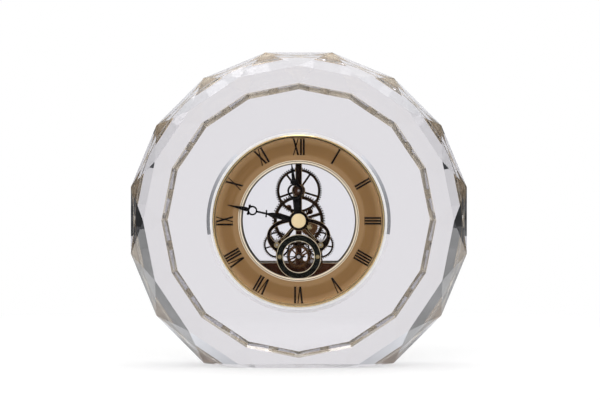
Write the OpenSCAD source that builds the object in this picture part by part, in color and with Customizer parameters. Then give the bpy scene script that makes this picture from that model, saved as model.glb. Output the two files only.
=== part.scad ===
// Faceted crystal table clock with a push-fit open-work insert.
// Millimetres, X right, Z up, the dial faces -Y. The origin lies in the flat base,
// under the widest section (the girdle) of the block.

/* [Crystal block] */
// Width of the block across its flats, measured at the girdle
flats_w = 168; // [150:1:200]
// Number of facets round the block
facet_count = 16; // [12:4:20]
// Height of the block's centre above the flat base
centre_h = 71.5; // [66:0.5:78]
// Depth from the girdle forward to the front face
front_depth = 26; // [20:1:34]
// Depth from the girdle back to the rear face
back_depth = 14; // [13:1:20]
// How far the front face lies inside the girdle, per side
front_inset = 9.8; // [7:0.1:14]
// How far the rear slope comes inside the girdle, per side
back_inset = 16.7; // [12:0.1:20]
// Width of the polished bevel round the rear face
back_bevel = 3; // [1:0.1:4]
// Width of the bevel at the mouth of the hole
mouth_bevel = 1.5; // [0.5:0.1:2.5]

/* [Insert case] */
// Outer radius of the insert's case
case_r = 41.9; // [41:0.1:45]
// Wall of the case
case_wall = 0.6; // [0.5:0.1:1.2]
// How far the case stands proud of the block
lip_proud = 0.6; // [0.3:0.1:1.5]
// Thickness of the turned-in lip that holds the lens
lip_t = 0.5; // [0.4:0.1:1]
// How far the lip reaches in over the lens
lip_reach = 0.8; // [0.7:0.1:1.5]
// Radial thickness of the silicone gasket between case and hole
gasket_t = 1.3; // [0.9:0.1:2]
// Length of the gasket along the case
gasket_len = 9; // [6:0.5:14]
// Radial clearance between the gasket and the hole
gasket_gap = 0.1; // [0.05:0.01:0.1]
// Thickness of the rear cover
cover_t = 1.2; // [0.8:0.1:2]

/* [Dial] */
// Thickness of the front lens
lens_t = 1.8; // [1:0.1:2]
// Air between the lens and the hub cap
cap_air = 0.7; // [0.5:0.1:1.2]
// Thickness of the hub cap
cap_t = 1.6; // [1.2:0.1:2]
// Radius of the hub cap
cap_r = 3.55; // [2.8:0.05:4]
// Thickness of each hand
hand_t = 0.4; // [0.3:0.05:0.6]
// Air between the hands, and between the hour hand and the dial
hand_gap = 0.8; // [0.6:0.1:1]
// Thickness of the dial ring
dial_t = 0.8; // [0.6:0.1:1.2]
// Inner radius of the dial ring
dial_r_in = 29.35; // [28.5:0.05:30]
// Wall of the tube round the window, and of the plain spacer rings
tube_wall = 0.4; // [0.3:0.1:0.8]
// Number of ribs on the coin-edge bezel
rib_count = 170; // [90:1:180]
// Reach of the minute hand from the centre
minute_len = 35.5; // [33:0.5:38]
// Reach of the hour hand from the centre
hour_len = 28; // [24:0.5:30]
// Time shown, minutes past the hour
minute_shown = 47.1; // [0:0.1:59.9]
// Direction of the hour hand, degrees clockwise from twelve
hour_shown = 353; // [0:0.5:359.5]

/* [Movement] */
// Thickness of the front bridge
bridge_t = 1; // [0.8:0.1:1.4]
// Thickness of the back plate
plate_t = 1.5; // [1.2:0.1:2]
// Width of the upright bar of the front bridge
bar_w = 3.2; // [2.6:0.1:4]
// Width of the spine of the back plate
spine_w = 3; // [2.4:0.1:3.6]
// Height of the lower plate's edge below the centre
plate_drop = 21; // [20.5:0.1:21.5]
// Outer radius of the front ring
ring_r = 10.95; // [10.2:0.05:11.2]
// Width of the band of the front ring
ring_band = 3.3; // [2.8:0.1:3.5]
// Clearance between a shaft and its bearing
run_gap = 0.05; // [0.02:0.01:0.08]
// Radius of the pivots of the wheel arbors
pivot_r = 0.5; // [0.4:0.05:0.7]
// Radius of the arbors
arbor_r = 0.8; // [0.75:0.05:0.9]
// Tooth module of the centre wheel and its pinions
module_centre = 0.4; // [0.38:0.01:0.4]
// Tooth module of the display wheels and the motion work
module_show = 0.3; // [0.28:0.01:0.3]
// Share of the tooth pitch that a tooth fills
tooth_share = 0.37; // [0.3:0.01:0.4]

/* [Battery] */
// Diameter of the battery
battery_d = 10.5; // [8:0.1:10.5]
// Clearance round the battery and round its door
battery_gap = 0.15; // [0.1:0.05:0.3]
// Depth of the works behind the back plate
works_depth = 4.2; // [4.2:0.1:5]
// Radius of the knob that sets the hands
knob_r = 3.8; // [3:0.1:4.5]
// Height of the knob
knob_h = 5; // [3:0.5:5.5]

/* [Hidden] */

$fn = 96;
eps = 0.01;
face_gap = 0.3;

// Crystal block
facet_step = 360 / facet_count;
girdle_r = flats_w / 2 / cos(facet_step / 2);
front_r = (flats_w / 2 - front_inset) / cos(facet_step / 2);
back_r = (flats_w / 2 - back_inset) / cos(facet_step / 2);
bevel_r = (flats_w / 2 - back_inset - back_bevel) / cos(facet_step / 2);
hole_r = case_r + gasket_t + gasket_gap;

// Depths behind the lip of the case, front to back
front_y = -front_depth - lip_proud;
d_lens = lip_t;
d_lens_end = d_lens + lens_t;
d_cap = d_lens_end + cap_air;
d_minute = d_cap + cap_t;
d_minute_end = d_minute + hand_t;
d_hour = d_minute_end + hand_gap;
d_hour_end = d_hour + hand_t;
d_dial = d_hour_end + hand_gap;
d_dial_end = d_dial + dial_t;
layer_gap = 0.4;
d_bridge = d_dial_end + layer_gap;
d_bridge_end = d_bridge + bridge_t;
ring_t = 1;
d_ring = d_bridge - ring_t;
thin_gear_t = 0.6;
d_hour_wheel = d_bridge_end + layer_gap;
d_hour_wheel_end = d_hour_wheel + thin_gear_t;
d_motion = d_hour_wheel_end + layer_gap;
d_motion_end = d_motion + thin_gear_t;
centre_gear_t = 1;
d_centre = d_motion_end + 0.6;
d_centre_end = d_centre + centre_gear_t;
show_gear_t = 0.8;
d_show = d_centre_end + 0.8;
d_show_end = d_show + show_gear_t;
d_drive = d_show_end + 0.8;
d_drive_end = d_drive + 0.7;
d_step = d_drive_end + thin_gear_t;
d_step_end = d_step + thin_gear_t;
d_plate = d_step_end + 0.7;
d_plate_end = d_plate + plate_t;
bay_wall = 0.4;
d_works_end = d_plate_end + works_depth;
d_bay = d_works_end + bay_wall;
door_air = 0.2;
case_len = d_bay + battery_d + 2 * battery_gap + door_air;
rear_lens_t = 1.2;
d_rear_lens = case_len - rear_lens_t;
d_cover_end = case_len + cover_t;

// Radii of the case and of what is stacked in it
case_in_r = case_r - case_wall;
lip_in_r = case_r - lip_reach;
stack_r = case_in_r - 0.1;
spacer_wall = 0.55;
tube_in_r = dial_r_in - tube_wall - 0.05;
tube_out_r = dial_r_in - 0.05;

// Gear train, centres in the dial plane
z_centre = 64;
z_top_pinion = 10;
z_side_pinion = 16;
z_top = 62;
module_top = 0.36;
top_share = 0.58;
centre_share = 0.5;
show_share = 0.44;
tip_share = 0.4;
blunt_tip = 0.62;
z_side = 45;
z_ring = 36;
z_drive = 60;
z_step_pinion = 10;
z_step = 60;
z_rotor = 10;
z_cannon = 10;
z_motion = 30;
z_motion_pinion = 8;
z_hour = 32;
module_drive = 0.2;
module_step = 0.18;
function spacing(m, za, zb) = m * (za + zb) / 2;
function polar(r, a) = r * [cos(a), sin(a)];
top_at = [0, spacing(module_centre, z_centre, z_top_pinion)];
side_dist = spacing(module_centre, z_centre, z_side_pinion);
ring_link = spacing(module_show, z_side, z_ring);
side_a = 312;
right_at = polar(side_dist, side_a);
left_at = [-right_at[0], right_at[1]];
ring_at = [0, right_at[1] - sqrt(ring_link * ring_link - right_at[0] * right_at[0])];
step_a = -20;
step_at = ring_at + polar(spacing(module_drive, z_drive, z_step_pinion), step_a);
rotor_a = -104;
rotor_at = step_at + polar(spacing(module_step, z_step, z_rotor), rotor_a);
motion_a = -30;
motion_at = polar(spacing(module_show, z_cannon, z_motion), motion_a);

// Tooth phases, so that every pair is in mesh at rest
function bearing(p, q) = atan2(q[1] - p[1], q[0] - p[0]);
function meshed(za, phase_a, zb, dir) = dir + 180 + 180 / zb - za / zb * (phase_a - dir);
phase_centre = 0;
phase_top_pinion = meshed(z_centre, phase_centre, z_top_pinion, bearing([0, 0], top_at));
phase_left_pinion = meshed(z_centre, phase_centre, z_side_pinion, bearing([0, 0], left_at));
phase_right_pinion = meshed(z_centre, phase_centre, z_side_pinion, bearing([0, 0], right_at));
phase_ring = 0;
phase_left = meshed(z_ring, phase_ring, z_side, bearing(ring_at, left_at));
phase_right = meshed(z_ring, phase_ring, z_side, bearing(ring_at, right_at));
phase_step_pinion = meshed(z_drive, phase_ring, z_step_pinion, step_a);
phase_rotor = meshed(z_step, phase_ring, z_rotor, rotor_a);
phase_motion = meshed(z_cannon, phase_centre, z_motion, motion_a);
phase_hour = meshed(z_motion_pinion, phase_motion, z_hour, motion_a + 180);

// Sleeve, stud and bearing radii
tube_bore_r = arbor_r + run_gap;
hour_tube_r = arbor_r + 0.7;
bush_r = pivot_r + 0.7;
top_bush_r = 2.8;
top_boss_wall = 0.5;
top_dome = 0.8;
stud_r = 0.4;
sleeve_r = pivot_r + run_gap + 0.35;
step_root_r = module_drive * (z_step_pinion / 2 - 1.2);
knob_hole_r = knob_r + 0.5;

// Battery bay
housing_gap = 0.2;
bay_roof = 0.7;
battery_drop = plate_drop + housing_gap + bay_roof + battery_gap + battery_d / 2;
d_battery = d_bay + battery_gap + battery_d / 2;
contact_t = 0.4;
contact_air = 1.9;
shell_wall = 1.2;
bay_r = stack_r - shell_wall;
// The longest cell that fits the bay, in steps of half a millimetre
end_air = 1;
cell_fit = 2 * (sqrt(pow(bay_r, 2) - pow(battery_drop + battery_d / 2, 2)) - end_air);
battery_len = floor(2 * cell_fit + eps) / 2;
bay_half = battery_len / 2 + contact_air + contact_t;
door_half = bay_half - 1;
door_top = battery_drop - battery_d / 2 + 0.3;
door_bottom = battery_drop + battery_d / 2 - 0.2;

// Drive behind the back plate
works_wall = 0.5;
rotor_pivot_r = 0.3;
magnet_r = 1.6;
coil_r = 2;
works_r = stack_r - shell_wall;
works_drop = stack_r - 3;
coil_air = 0.3;
coil_drop = works_drop - coil_r - coil_air;
coil_half = 8;
d_coil = d_plate_end + 2.1;
core_t = 0.8;
core_w = 2;
stator_t = 0.9;
stator_gap = 0.4;
stator_band = 0.9;
board_t = 1;
board_h = 8;
board_right = 12.5;
board_drop = plate_drop + 1.6;
board_w = sqrt(pow(works_r - 0.8, 2) - pow(board_drop + board_h, 2)) - board_right;

// Places of the posts and screws
ring_mid_r = ring_r - ring_band / 2;
pillar_r = 1.1;
screw_head_t = 0.7;
cover_screw_r = 0.8;
cover_screw_len = 5;
low_pillar_a = 13;
low_pillars = [for (s = [-1, 1]) ring_at + polar(ring_mid_r, -90 + s * low_pillar_a)];
top_pillar_at = [0, tube_out_r + 3];
ring_screw_at = [for (s = [-1, 1]) ring_at + [s * ring_mid_r, 0]];
boss_dist = (stack_r + tube_out_r) / 2;
boss_angles = [35, 145, -10, 190];

// A flat piece between two depths, drawn as it is seen from the front
module slab(d0, d1) {
    translate([0, front_y + d1, centre_h])
    rotate([90, 0, 0])
    linear_extrude(d1 - d0)
    children();
}

// A turned piece about a line through a point of the dial plane, drawn as [radius, depth]
module turned(at = [0, 0]) {
    translate([at[0], front_y, centre_h + at[1]])
    rotate([-90, 0, 0])
    rotate_extrude()
    children();
}

// A plain ring or disc in a turned profile
module band(r0, r1, d0, d1) {
    polygon([[r0, d0], [r1, d0], [r1, d1], [r0, d1]]);
}

function tooth_points(z, m, phase, share, tip) = let (
    pitch = m * z / 2,
    half = share * 180 / z,
    outline = [[pitch - 1.2 * m, -half], [pitch, -half], [pitch + 0.9 * m, -half * tip],
        [pitch + 0.9 * m, half * tip], [pitch, half], [pitch - 1.2 * m, half]])
    [for (i = [0:z - 1]) for (p = outline) polar(p[0], phase + i * 360 / z + p[1])];

module gear_shape(z, m, phase, share = tooth_share, tip = tip_share) {
    polygon(tooth_points(z, m, phase, share, tip));
}

function window_points(r_rim, r_hub, span, w) = let (
    rim_a = asin(w / 2 / r_rim),
    hub_a = asin(w / 2 / r_hub),
    n = 6)
    concat([for (i = [0:n]) polar(r_rim, rim_a + i * (span - 2 * rim_a) / n)],
        [for (i = [n:-1:0]) polar(r_hub, hub_a + i * (span - 2 * hub_a) / n)]);

// A spoked wheel, with its bore as a twelve-sided hole round the arbor
module wheel_shape(z, m, phase, rim, hub, spokes, spoke_w, spoke_a, bore, share = tooth_share,
    tip = tip_share) {
    r_rim = m * z / 2 - 1.2 * m - rim;
    difference() {
        gear_shape(z, m, phase, share, tip);
        for (i = [0:spokes - 1]) {
            rotate(spoke_a + i * 360 / spokes)
            polygon(window_points(r_rim, hub, 360 / spokes, spoke_w));
        }
        circle(r = bore / cos(15), $fn = 12);
    }
}

module at(p) {
    translate([p[0], p[1]])
    children();
}

// Crystal block

function ring_of(r, y, half_turn) = [for (k = [0:facet_count - 1])
    let (a = (k + half_turn) * facet_step) [r * sin(a), y, r * cos(a)]];

module crystal_blank() {
    n = facet_count;
    points = concat(ring_of(front_r, -front_depth, 0), ring_of(girdle_r, 0, 0.5),
        ring_of(back_r, back_depth - back_bevel, 0), ring_of(bevel_r, back_depth, 0));
    front = [for (k = [0:n - 1]) k];
    rear = [for (k = [n - 1:-1:0]) 3 * n + k];
    slopes = [for (k = [0:n - 1]) let (j = (k + 1) % n) each [
        [k, n + k, j],
        [j, n + k, n + j],
        [2 * n + j, n + k, 2 * n + k],
        [n + j, n + k, 2 * n + j],
        [2 * n + j, 2 * n + k, 3 * n + k, 3 * n + j]]];
    polyhedron(points, concat([front, rear], slopes));
}

module crystal_body() {
    color([0.9, 0.92, 0.95, 0.5])
    difference() {
        translate([0, 0, centre_h]) crystal_blank();
        translate([-flats_w, -front_depth - 10, -flats_w])
        cube([2 * flats_w, front_depth + back_depth + 20, flats_w]);
        turned() band(0, hole_r, -10, front_depth + back_depth + 10);
        turned() polygon([[0, lip_proud - 1], [hole_r + mouth_bevel + 1, lip_proud - 1],
            [hole_r + mouth_bevel, lip_proud], [hole_r, lip_proud + mouth_bevel],
            [0, lip_proud + mouth_bevel]]);
    }
}

// Case and window of the insert

module gasket() {
    rib_t = 1.2;
    rib_pitch = (gasket_len - rib_t) / 2;
    base_r = case_r + gasket_t * 0.5;
    start = lip_proud + 0.3;
    color("whitesmoke")
    turned() {
        band(case_r, base_r, start, start + gasket_len);
        for (i = [0:2]) {
            rib_y = start + i * rib_pitch;
            band(base_r - eps, case_r + gasket_t, rib_y, rib_y + rib_t);
        }
    }
}

module case_ring() {
    edge = 0.25;
    color("goldenrod")
    turned() polygon([[lip_in_r, 0], [case_r - edge, 0], [case_r, edge], [case_r, case_len],
        [case_in_r, case_len], [case_in_r, lip_t], [lip_in_r, lip_t]]);
}

module front_lens() {
    color([0.85, 0.92, 0.95, 0.3])
    turned() band(0, stack_r, d_lens, d_lens_end);
}

module spacer_ring() {
    color("gold")
    turned() band(stack_r - spacer_wall, stack_r, d_lens_end, d_dial);
}

module dial_ring() {
    color("burlywood")
    turned() band(dial_r_in, stack_r, d_dial, d_dial_end);
}

module inner_bezel() {
    rib_h = 0.3;
    flange_t = 0.7;
    flange_r = dial_r_in + 0.35;
    inner_r = tube_in_r - 0.85;
    rib_step = 360 / rib_count;
    rib_a = rib_step / 4;
    rib_sink = 0.1;
    rib_in = inner_r + 0.05;
    rib_out = flange_r - 0.05;
    color("khaki") {
        turned() band(inner_r, flange_r, d_dial - flange_t + rib_h, d_dial);
        turned() band(tube_in_r, tube_out_r, d_dial - rib_sink, d_dial_end);
        slab(d_dial - flange_t, d_dial - flange_t + rib_h + rib_sink)
        for (i = [0:rib_count - 1]) rotate(i * rib_step)
        polygon([polar(rib_in, -rib_a), polar(rib_out, -rib_a), polar(rib_out, rib_a), polar(rib_in, rib_a)]);
    }
}

module window_tube() {
    color("sienna")
    difference() {
        turned() band(tube_in_r, tube_out_r, d_dial_end, d_plate);
        slab(d_dial_end - 1, d_bridge_end + 0.1)
        translate([-bar_w / 2 - 0.1, 0]) square([bar_w + 0.2, tube_out_r + 2]);
    }
}

module plate_spacer() {
    color("dimgray")
    turned() band(stack_r - spacer_wall, stack_r, d_dial_end, d_plate);
}

// Plates and bridges

// A straight arm of even width between two points
module arm(p, q, w) {
    at(p)
    rotate(bearing(p, q))
    translate([0, -w / 2])
    square([norm(q - p), w]);
}

module back_plate_shape() {
    arm_w = 2.4;
    arm_foot = [8.2, -plate_drop - 0.5];
    boss_at = [[5.7, 4.5], [-4.9, 6.5]];
    boss_w = 1.4;
    difference() {
        union() {
            difference() {
                circle(r = stack_r);
                circle(r = tube_in_r);
            }
            intersection() {
                circle(r = stack_r - eps);
                translate([-stack_r, -stack_r - plate_drop]) square([2 * stack_r, stack_r]);
            }
            translate([-spine_w / 2, -plate_drop - 1]) square([spine_w, plate_drop + 1 + tube_in_r + 1]);
            circle(r = hour_tube_r + 1.5);
            at(top_at) circle(r = bush_r + 1.2);
            at(ring_at) circle(r = spine_w / 2 + 0.5);
            at(step_at) circle(r = 1.7);
            for (p = boss_at) {
                arm([0, 0], p, boss_w);
                at(p) circle(r = boss_w);
            }
            for (side = [[-1, left_at], [1, right_at]]) {
                arm([side[0] * arm_foot[0], arm_foot[1]], side[1], arm_w);
                at(side[1]) circle(r = bush_r + 0.7);
            }
        }
        for (p = [[0, 0], top_at, left_at, right_at, rotor_at]) at(p) circle(r = bush_seat_r(p), $fn = 48);
        at(ring_at) circle(r = pivot_r, $fn = 48);
        at(step_at) circle(r = stud_r, $fn = 48);
        for (p = concat(low_pillars, [top_pillar_at])) at(p) circle(r = pillar_r * 0.5, $fn = 32);
    }
}

function bush_seat_r(p) = norm(p) < eps ? bush_r + 0.6 : bush_r;

module back_plate() {
    color("saddlebrown")
    slab(d_plate, d_plate_end) back_plate_shape();
}

function curve(p, t) = pow(1 - t, 3) * p[0] + 3 * pow(1 - t, 2) * t * p[1]
    + 3 * (1 - t) * t * t * p[2] + pow(t, 3) * p[3];
function curve_points(p, n) = [for (i = [0:n]) curve(p, i / n)];

// One swept loop of the bridge, from the hub out and down to the ring, on the right
module bridge_loop() {
    inner = [[3.5, -0.7], [12, -1.5], [19, -7.3], [8.4, -12.3]];
    outer = [[10.4, -15.6], [19.5, -10.3], [16.5, 1.2], [3, 1.2]];
    strut_foot = [8.6, -9.6];
    polygon(concat(curve_points(inner, 12), curve_points(outer, 14)));
    arm([2.5, -2.6], strut_foot, 0.9);
    arm(strut_foot, right_at, 1.6);
    arm([10.4, -13.6], ring_screw_at[1], 2.6);
    at(ring_screw_at[1]) circle(r = 1.5);
}

module bridge_shape() {
    difference() {
        union() {
            circle(r = 5);
            translate([-bar_w / 2, 0]) square([bar_w, top_pillar_at[1] + pillar_r + 0.6]);
            at(top_at) circle(r = top_bush_r + top_boss_wall);
            bridge_loop();
            mirror([1, 0]) bridge_loop();
            at(motion_at) circle(r = 1.5);
        }
        circle(r = hour_tube_r + run_gap);
        at(top_at) circle(r = top_bush_r);
        for (p = [left_at, right_at]) at(p) circle(r = bush_r, $fn = 48);
        at(motion_at) circle(r = stud_r, $fn = 48);
        for (p = ring_screw_at) at(p) circle(r = 0.5, $fn = 32);
    }
}

module front_bridge() {
    color("saddlebrown")
    slab(d_bridge, d_bridge_end) bridge_shape();
}

module front_ring() {
    edge = 0.3;
    in_r = ring_r - ring_band;
    color("darkslategray")
    difference() {
        turned(ring_at) polygon([[in_r, d_ring + edge], [in_r + edge, d_ring], [ring_r - edge, d_ring],
            [ring_r, d_ring + edge], [ring_r, d_bridge], [in_r, d_bridge]]);
        for (p = ring_screw_at) turned(p) band(0, 0.5, d_ring - 1, d_bridge + 1);
    }
}

module pillars() {
    tap_r = pillar_r * 0.5;
    color("darkgoldenrod") {
        for (p = low_pillars) turned(p) polygon([[0, d_bridge], [pillar_r, d_bridge], [pillar_r, d_plate],
            [tap_r, d_plate], [tap_r, d_plate - 3], [0, d_plate - 3]]);
        turned(top_pillar_at) polygon([[0, d_bridge_end], [pillar_r, d_bridge_end], [pillar_r, d_plate],
            [tap_r, d_plate], [tap_r, d_plate - 3], [0, d_plate - 3]]);
    }
}

// A slotted screw, head depth first
module screw(p, head_r, shank_r, head_d, seat_d, tip_d) {
    slot_w = head_r * 0.35;
    low = min(head_d, seat_d);
    high = max(head_d, seat_d);
    cut = head_d < seat_d ? head_d : head_d - 0.25;
    difference() {
        union() {
            turned(p) band(0, head_r, low, high);
            turned(p) band(0, shank_r, min(seat_d, tip_d) - eps, max(seat_d, tip_d) + eps);
        }
        slab(cut - eps, cut + 0.25 + eps)
        at(p)
        rotate(20)
        square([head_r * 3, slot_w], center = true);
    }
}

module pillar_screws() {
    color("silver")
    for (p = concat(low_pillars, [top_pillar_at]))
        screw(p, pillar_r, pillar_r * 0.5, d_plate_end + screw_head_t, d_plate_end, d_plate - 2.5);
}

module ring_screws() {
    color("gold")
    for (p = ring_screw_at) screw(p, 1, 0.5, d_ring - 0.4, d_ring, d_bridge_end - 0.1);
}

module bush(p, bore, outer, d0, d1) {
    turned(p) band(bore, outer, d0, d1);
}

module front_bushes() {
    color("gold") {
        turned(top_at) polygon(concat([for (i = [0:6]) [max(pivot_r + run_gap, top_bush_r * sin(15 * i)),
            d_bridge - top_dome * cos(15 * i)]],
            [[top_bush_r, d_bridge_end], [pivot_r + run_gap, d_bridge_end]]));
        for (p = [left_at, right_at]) bush(p, pivot_r + run_gap, bush_r, d_bridge, d_bridge_end);
    }
}

module rear_bushes() {
    color("gold") {
        for (p = [top_at, left_at, right_at]) bush(p, pivot_r + run_gap, bush_r, d_plate, d_plate_end);
        bush([0, 0], tube_bore_r, bush_seat_r([0, 0]), d_plate, d_plate_end);
        bush(rotor_at, rotor_pivot_r + run_gap, bush_r, d_plate, d_plate_end);
    }
}

module motion_stud() {
    head = 2;
    color("silver") {
        turned(motion_at) band(0, stud_r, d_bridge, d_motion_end + 0.2);
        slab(d_bridge - 0.5, d_bridge)
        at(motion_at)
        rotate(20)
        square(head, center = true);
    }
}

module ring_stud() {
    color("silver")
    turned(ring_at) band(0, pivot_r, d_ring + 0.6, d_plate_end);
}

module step_stud() {
    color("silver")
    turned(step_at) band(0, stud_r, d_drive - 0.3, d_plate_end);
}

// Housing, battery and drive

module housing_outline() {
    intersection() {
        circle(r = stack_r);
        translate([-stack_r, -stack_r - plate_drop - housing_gap]) square([2 * stack_r, stack_r]);
    }
}

module bay_outline(half, top, bottom, round_r) {
    intersection() {
        circle(r = round_r);
        translate([-half, -bottom]) square([2 * half, bottom - top]);
    }
}

module module_housing() {
    tube_end = d_rear_lens;
    rib_w = 1.4;
    bay_top = battery_drop - battery_d / 2 - battery_gap;
    bay_bottom = battery_drop + battery_d / 2 + battery_gap;
    color("black")
    difference() {
        union() {
            slab(d_plate_end, case_len) housing_outline();
            slab(d_plate_end, tube_end)
            difference() {
                circle(r = tube_out_r);
                circle(r = tube_in_r);
                translate([-stack_r, -stack_r - plate_drop - 0.3]) square([2 * stack_r, stack_r]);
            }
            for (a = boss_angles) {
                slab(d_plate_end, case_len) at(polar(boss_dist, a)) circle(r = 2.2, $fn = 48);
                slab(d_plate_end, tube_end) rotate(a) translate([tube_out_r - 0.2, -rib_w / 2])
                square([boss_dist - tube_out_r, rib_w]);
            }
        }
        slab(d_plate_end - 1, d_works_end) {
            bay_outline(works_r, plate_drop + housing_gap + works_wall, works_drop, works_r);
            at(rotor_at) circle(r = magnet_r + stator_gap + stator_band + 0.2);
        }
        slab(d_bay, case_len + 1) bay_outline(bay_half, bay_top, bay_bottom, bay_r);
        for (a = boss_angles)
            turned(polar(boss_dist, a)) band(0, cover_screw_r, case_len - cover_screw_len - 1, case_len + 1);
        turned(rotor_at) band(0, rotor_pivot_r + run_gap, d_works_end - 1, d_bay + 1);
    }
}

module circuit_board() {
    color("darkgreen")
    slab(d_works_end - board_t, d_works_end)
    difference() {
        translate([-board_right - board_w, -board_drop - board_h]) square([board_w, board_h]);
        translate([-board_right - board_w + 1.5, -board_drop - 1.5]) circle(r = 0.7, $fn = 32);
    }
}

module quartz_can() {
    can_r = 1;
    can_len = board_w / 2;
    color("silver")
    translate([-board_right - board_w * 0.75, front_y + d_works_end - board_t - can_r,
        centre_h - board_drop - board_h / 2])
    rotate([0, 90, 0])
    cylinder(r = can_r, h = can_len, $fn = 48);
}

module stator() {
    gap_r = magnet_r + stator_gap;
    arm_w = 2;
    foot_x = coil_half + 1.5;
    bar_at = -coil_drop + coil_r + arm_w / 2 + 1.5;
    color("lightsteelblue")
    slab(d_coil - core_t / 2 - stator_t, d_coil - core_t / 2)
    difference() {
        union() {
            at(rotor_at) circle(r = gap_r + stator_band);
            arm(rotor_at, [rotor_at[0], bar_at], arm_w);
            arm([-foot_x - arm_w / 2, bar_at], [foot_x + arm_w / 2, bar_at], arm_w);
            for (s = [-1, 1]) arm([s * foot_x, bar_at], [s * foot_x, -coil_drop - core_w / 2], arm_w);
        }
        at(rotor_at) circle(r = gap_r);
    }
}

module coil_core() {
    color("silver")
    slab(d_coil - core_t / 2, d_coil + core_t / 2)
    translate([-coil_half - 2.5, -coil_drop - core_w / 2]) square([2 * coil_half + 5, core_w]);
}

module coil_winding() {
    wind_r = coil_r - 0.25;
    cheek_r = coil_r;
    cheek_t = 0.6;
    color("peru")
    translate([-coil_half, front_y + d_coil, centre_h - coil_drop])
    rotate([0, 90, 0])
    difference() {
        union() {
            cylinder(r = wind_r, h = 2 * coil_half);
            cylinder(r = cheek_r, h = cheek_t);
            translate([0, 0, 2 * coil_half - cheek_t]) cylinder(r = cheek_r, h = cheek_t);
        }
        translate([-core_w / 2, -core_t / 2, -1]) cube([core_w, core_t, 2 * coil_half + 2]);
    }
}

// A cell that lies along X, its nipple to the right
module battery() {
    nipple_h = 1;
    nipple_r = battery_d * 0.18;
    edge = 0.4;
    body_end = battery_len - nipple_h;
    color("dimgray")
    translate([-battery_len / 2, front_y + d_battery, centre_h - battery_drop])
    rotate([0, 90, 0])
    rotate_extrude()
    polygon([[0, 0], [battery_d / 2 - edge, 0], [battery_d / 2, edge], [battery_d / 2, body_end - edge],
        [battery_d / 2 - edge, body_end], [nipple_r, body_end], [nipple_r, battery_len], [0, battery_len]]);
}

module positive_contact() {
    w = battery_d * 0.6;
    color("silver")
    translate([0, front_y + d_battery, centre_h - battery_drop]) {
        translate([bay_half - contact_t, -w / 2, -w / 2]) cube([contact_t, w, w]);
        translate([battery_len / 2, -1.2, -1.2]) cube([contact_air + eps, 2.4, 2.4]);
    }
}

function coil_point(t, turns, r0, r1, len) =
    [(r0 + (r1 - r0) * t) * cos(360 * turns * t), (r0 + (r1 - r0) * t) * sin(360 * turns * t), len * t];

// A conical wire spring along Z, as one unbroken tube
module wire_spring(turns, r0, r1, len, wire_r) {
    sides = 6;
    steps = turns * 14;
    points = [for (i = [0:steps]) let (
        c = coil_point(i / steps, turns, r0, r1, len),
        a = 360 * turns * i / steps)
        for (k = [0:sides - 1]) c + wire_r * [cos(a) * cos(60 * k), sin(a) * cos(60 * k), sin(60 * k)]];
    skin = [for (i = [0:steps - 1]) for (k = [0:sides - 1]) let (m = (k + 1) % sides) each [
        [i * sides + k, i * sides + m, (i + 1) * sides + k],
        [i * sides + m, (i + 1) * sides + m, (i + 1) * sides + k]]];
    ends = [[for (k = [sides - 1:-1:0]) k], [for (k = [0:sides - 1]) steps * sides + k]];
    polyhedron(points, concat(skin, ends));
}

module spring_contact() {
    w = battery_d * 0.7;
    wire_r = 0.2;
    color("silver")
    translate([-bay_half, front_y + d_battery, centre_h - battery_drop]) {
        translate([0, -w / 2, -w / 2]) cube([contact_t, w, w]);
        translate([contact_t + wire_r * 0.5, 0, 0])
        rotate([0, 90, 0])
        wire_spring(2, battery_d * 0.3, battery_d * 0.17, contact_air - 1.6 * wire_r, wire_r);
    }
}

// Back of the insert

module rear_cover() {
    view_r = tube_in_r - 0.6;
    view_edge = plate_drop - 0.6;
    color("darkgoldenrod")
    slab(case_len, d_cover_end)
    difference() {
        circle(r = case_r);
        intersection() {
            circle(r = view_r);
            translate([-case_r, -view_edge]) square([2 * case_r, 2 * case_r]);
        }
        bay_outline(door_half, door_top, door_bottom, bay_r);
        for (a = boss_angles) at(polar(boss_dist, a)) circle(r = cover_screw_r, $fn = 32);
    }
}

module rear_lens() {
    color([0.85, 0.92, 0.95, 0.3])
    slab(d_rear_lens, case_len)
    difference() {
        intersection() {
            circle(r = tube_out_r);
            translate([-case_r, -plate_drop + 0.1]) square([2 * case_r, 2 * case_r]);
        }
        circle(r = knob_hole_r);
    }
}

module cover_screws() {
    color("silver")
    for (a = boss_angles)
        screw(polar(boss_dist, a), cover_screw_r + screw_head_t, cover_screw_r, d_cover_end + screw_head_t,
            d_cover_end, case_len - cover_screw_len);
}

module battery_cover() {
    grip_count = 5;
    color("darkgoldenrod") {
        slab(case_len, d_cover_end)
        bay_outline(door_half - battery_gap, door_top + battery_gap, door_bottom - battery_gap,
            bay_r - battery_gap);
        for (i = [0:grip_count - 1])
            slab(d_cover_end - eps, d_cover_end + 0.4)
            translate([-8, -battery_drop + (i - (grip_count - 1) / 2) * 1.2 - 0.2]) square([16, 0.4]);
    }
}

// Hands and the minute line

minute_a = -6 * minute_shown;
hour_a = -hour_shown;

// An outline from its right half, drawn upwards
function mirrored(half) = concat(half, [for (i = [len(half) - 1:-1:0]) [-half[i][0], half[i][1]]]);

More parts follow.
